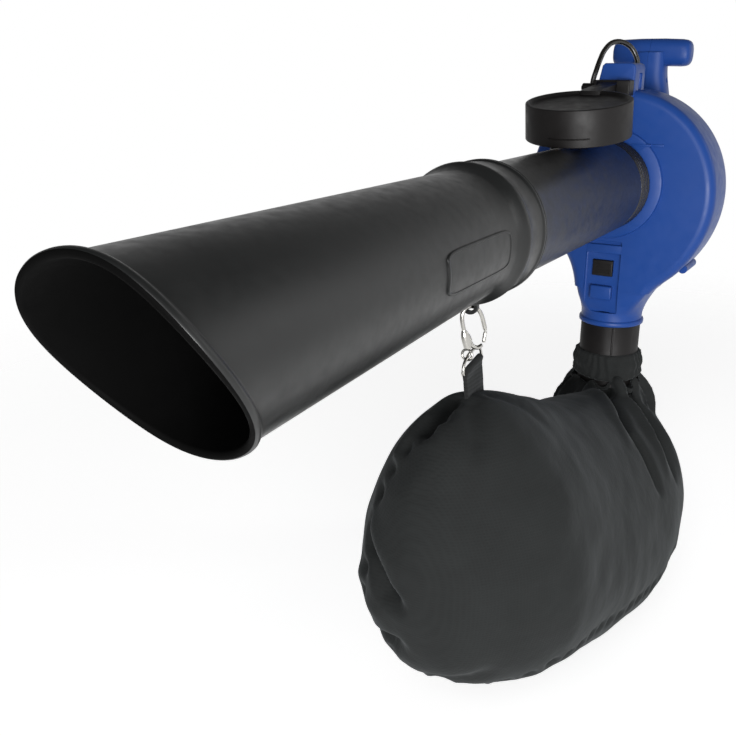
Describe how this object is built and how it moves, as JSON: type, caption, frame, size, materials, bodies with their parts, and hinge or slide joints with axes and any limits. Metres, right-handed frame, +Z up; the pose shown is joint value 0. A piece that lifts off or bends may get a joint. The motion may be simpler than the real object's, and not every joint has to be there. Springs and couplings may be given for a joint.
{
  "type": "leaf blower vacuum",
  "caption": "Hand-held electric leaf blower vacuum with a flared nozzle on a long tube, a scroll fan housing with a T-grip, and a filled bag.",
  "frame": {"origin": "middle of the T-grip bar, where a hand holds the machine", "axes": "-Y is the way the nozzle looks, +Z is up, +X is the machine's left side as its user holds it"},
  "size_m": [0.3012, 1.1531, 0.8064],
  "materials": {
    "black_plastic": "satin black moulded plastic",
    "cover_plastic": "matt black moulded plastic",
    "blue_plastic": "satin blue moulded plastic",
    "bag_fabric": "black woven polyester",
    "webbing": "black webbing",
    "nickel": "bright nickel plate",
    "steel": "plain steel",
    "copper": "enamelled copper wire on a core",
    "brass": "bare brass",
    "carbon": "pressed carbon",
    "lead_sheath": "brownish black flexible sheath",
    "fan_nylon": "dark moulded nylon"
  },
  "bodies": {
    "machine": {"nozzle": "black_plastic", "suction_tube": "black_plastic", "lead_clip": "black_plastic", "hinge_bracket": "cover_plastic", "outlet_sleeve": "cover_plastic", "switch_body": "cover_plastic", "front_volute": "blue_plastic", "rear_volute": "blue_plastic", "rear_housing_left": "blue_plastic", "rear_housing_right": "blue_plastic", "latch_plate": "blue_plastic", "bag_body": "bag_fabric", "bag_cuff": "bag_fabric", "bag_strap": "webbing", "field_core": "steel", "front_bearing": "steel", "rear_bearing": "steel", "latch_spring": "steel", "hinge_pin": "steel", "switch_pivot": "steel", "motor_screw_left": "steel", "motor_screw_right": "steel", "volute_screw_1": "steel", "volute_screw_2": "steel", "volute_screw_3": "steel", "volute_screw_4": "steel", "housing_screw_1": "steel", "housing_screw_2": "steel", "housing_screw_3": "steel", "housing_screw_4": "steel", "field_coil_front": "copper", "field_coil_rear": "copper", "brush_holder_left": "brass", "brush_holder_right": "brass", "plug_prong_front": "brass", "plug_prong_rear": "brass", "carbon_brush_left": "carbon", "carbon_brush_right": "carbon", "strain_relief": "lead_sheath", "lead_winding": "lead_sheath", "lead_loop": "lead_sheath", "plug_body": "lead_sheath"},
    "rotor": {"motor_shaft": "steel", "impeller": "fan_nylon", "impeller_washer": "steel", "impeller_nut": "steel", "armature": "copper", "commutator": "copper", "cooling_fan": "fan_nylon"},
    "cover": {"inlet_cover": "cover_plastic"},
    "rocker": {"switch_rocker": "black_plastic"},
    "button": {"latch_button": "cover_plastic"},
    "hook": {"snap_hook_body": "nickel"},
    "swivel": {"hook_swivel": "nickel"},
    "gate": {"hook_gate": "nickel"},
    "ring": {"d_ring": "nickel"}
  },
  "joints": [
    {"name": "fan_spin", "type": "hinge", "parent": "machine", "child": "rotor", "pos_m": [0, -0.126, -0.175], "axis": [0, 1, 0], "continuous": true},
    {"name": "cover_hinge", "type": "hinge", "parent": "machine", "child": "cover", "pos_m": [0, -0.1903, -0.0467], "axis": [-1, 0, 0], "range_deg": [0, 60]},
    {"name": "rocker_tilt", "type": "hinge", "parent": "machine", "child": "rocker", "pos_m": [0, 0.0152, -0.063], "axis": [1, 0, 0], "range_deg": [-16, 0]},
    {"name": "button_press", "type": "slide", "parent": "machine", "child": "button", "axis": [0, 1, 0], "range_m": [0, 0.003], "stiffness_N_per_m": 400, "springref_m": -0.003},
    {"name": "hook_swing", "type": "hinge", "parent": "machine", "child": "hook", "pos_m": [0, -0.616, -0.2518], "axis": [0, 1, 0], "range_deg": [-3, 3]},
    {"name": "swivel_turn", "type": "hinge", "parent": "hook", "child": "swivel", "pos_m": [-0.0009, -0.6172, -0.3052], "axis": [0, 0, 1], "range_deg": [-15, 15]},
    {"name": "gate_open", "type": "hinge", "parent": "hook", "child": "gate", "pos_m": [0.01044, -0.60208, -0.2936], "axis": [0.8, -0.6, 0], "range_deg": [0, 35], "stiffness_Nm_per_rad": 0.02, "springref_deg": -17.19},
    {"name": "ring_swing", "type": "hinge", "parent": "machine", "child": "ring", "pos_m": [0, -0.605, -0.32], "axis": [0, 0.9744, 0.225], "range_deg": [-11, 11]}
  ],
  "couplings": [
    {"joint": "ring_swing", "follows": "hook_swing", "ratio": -3.6}
  ]
}
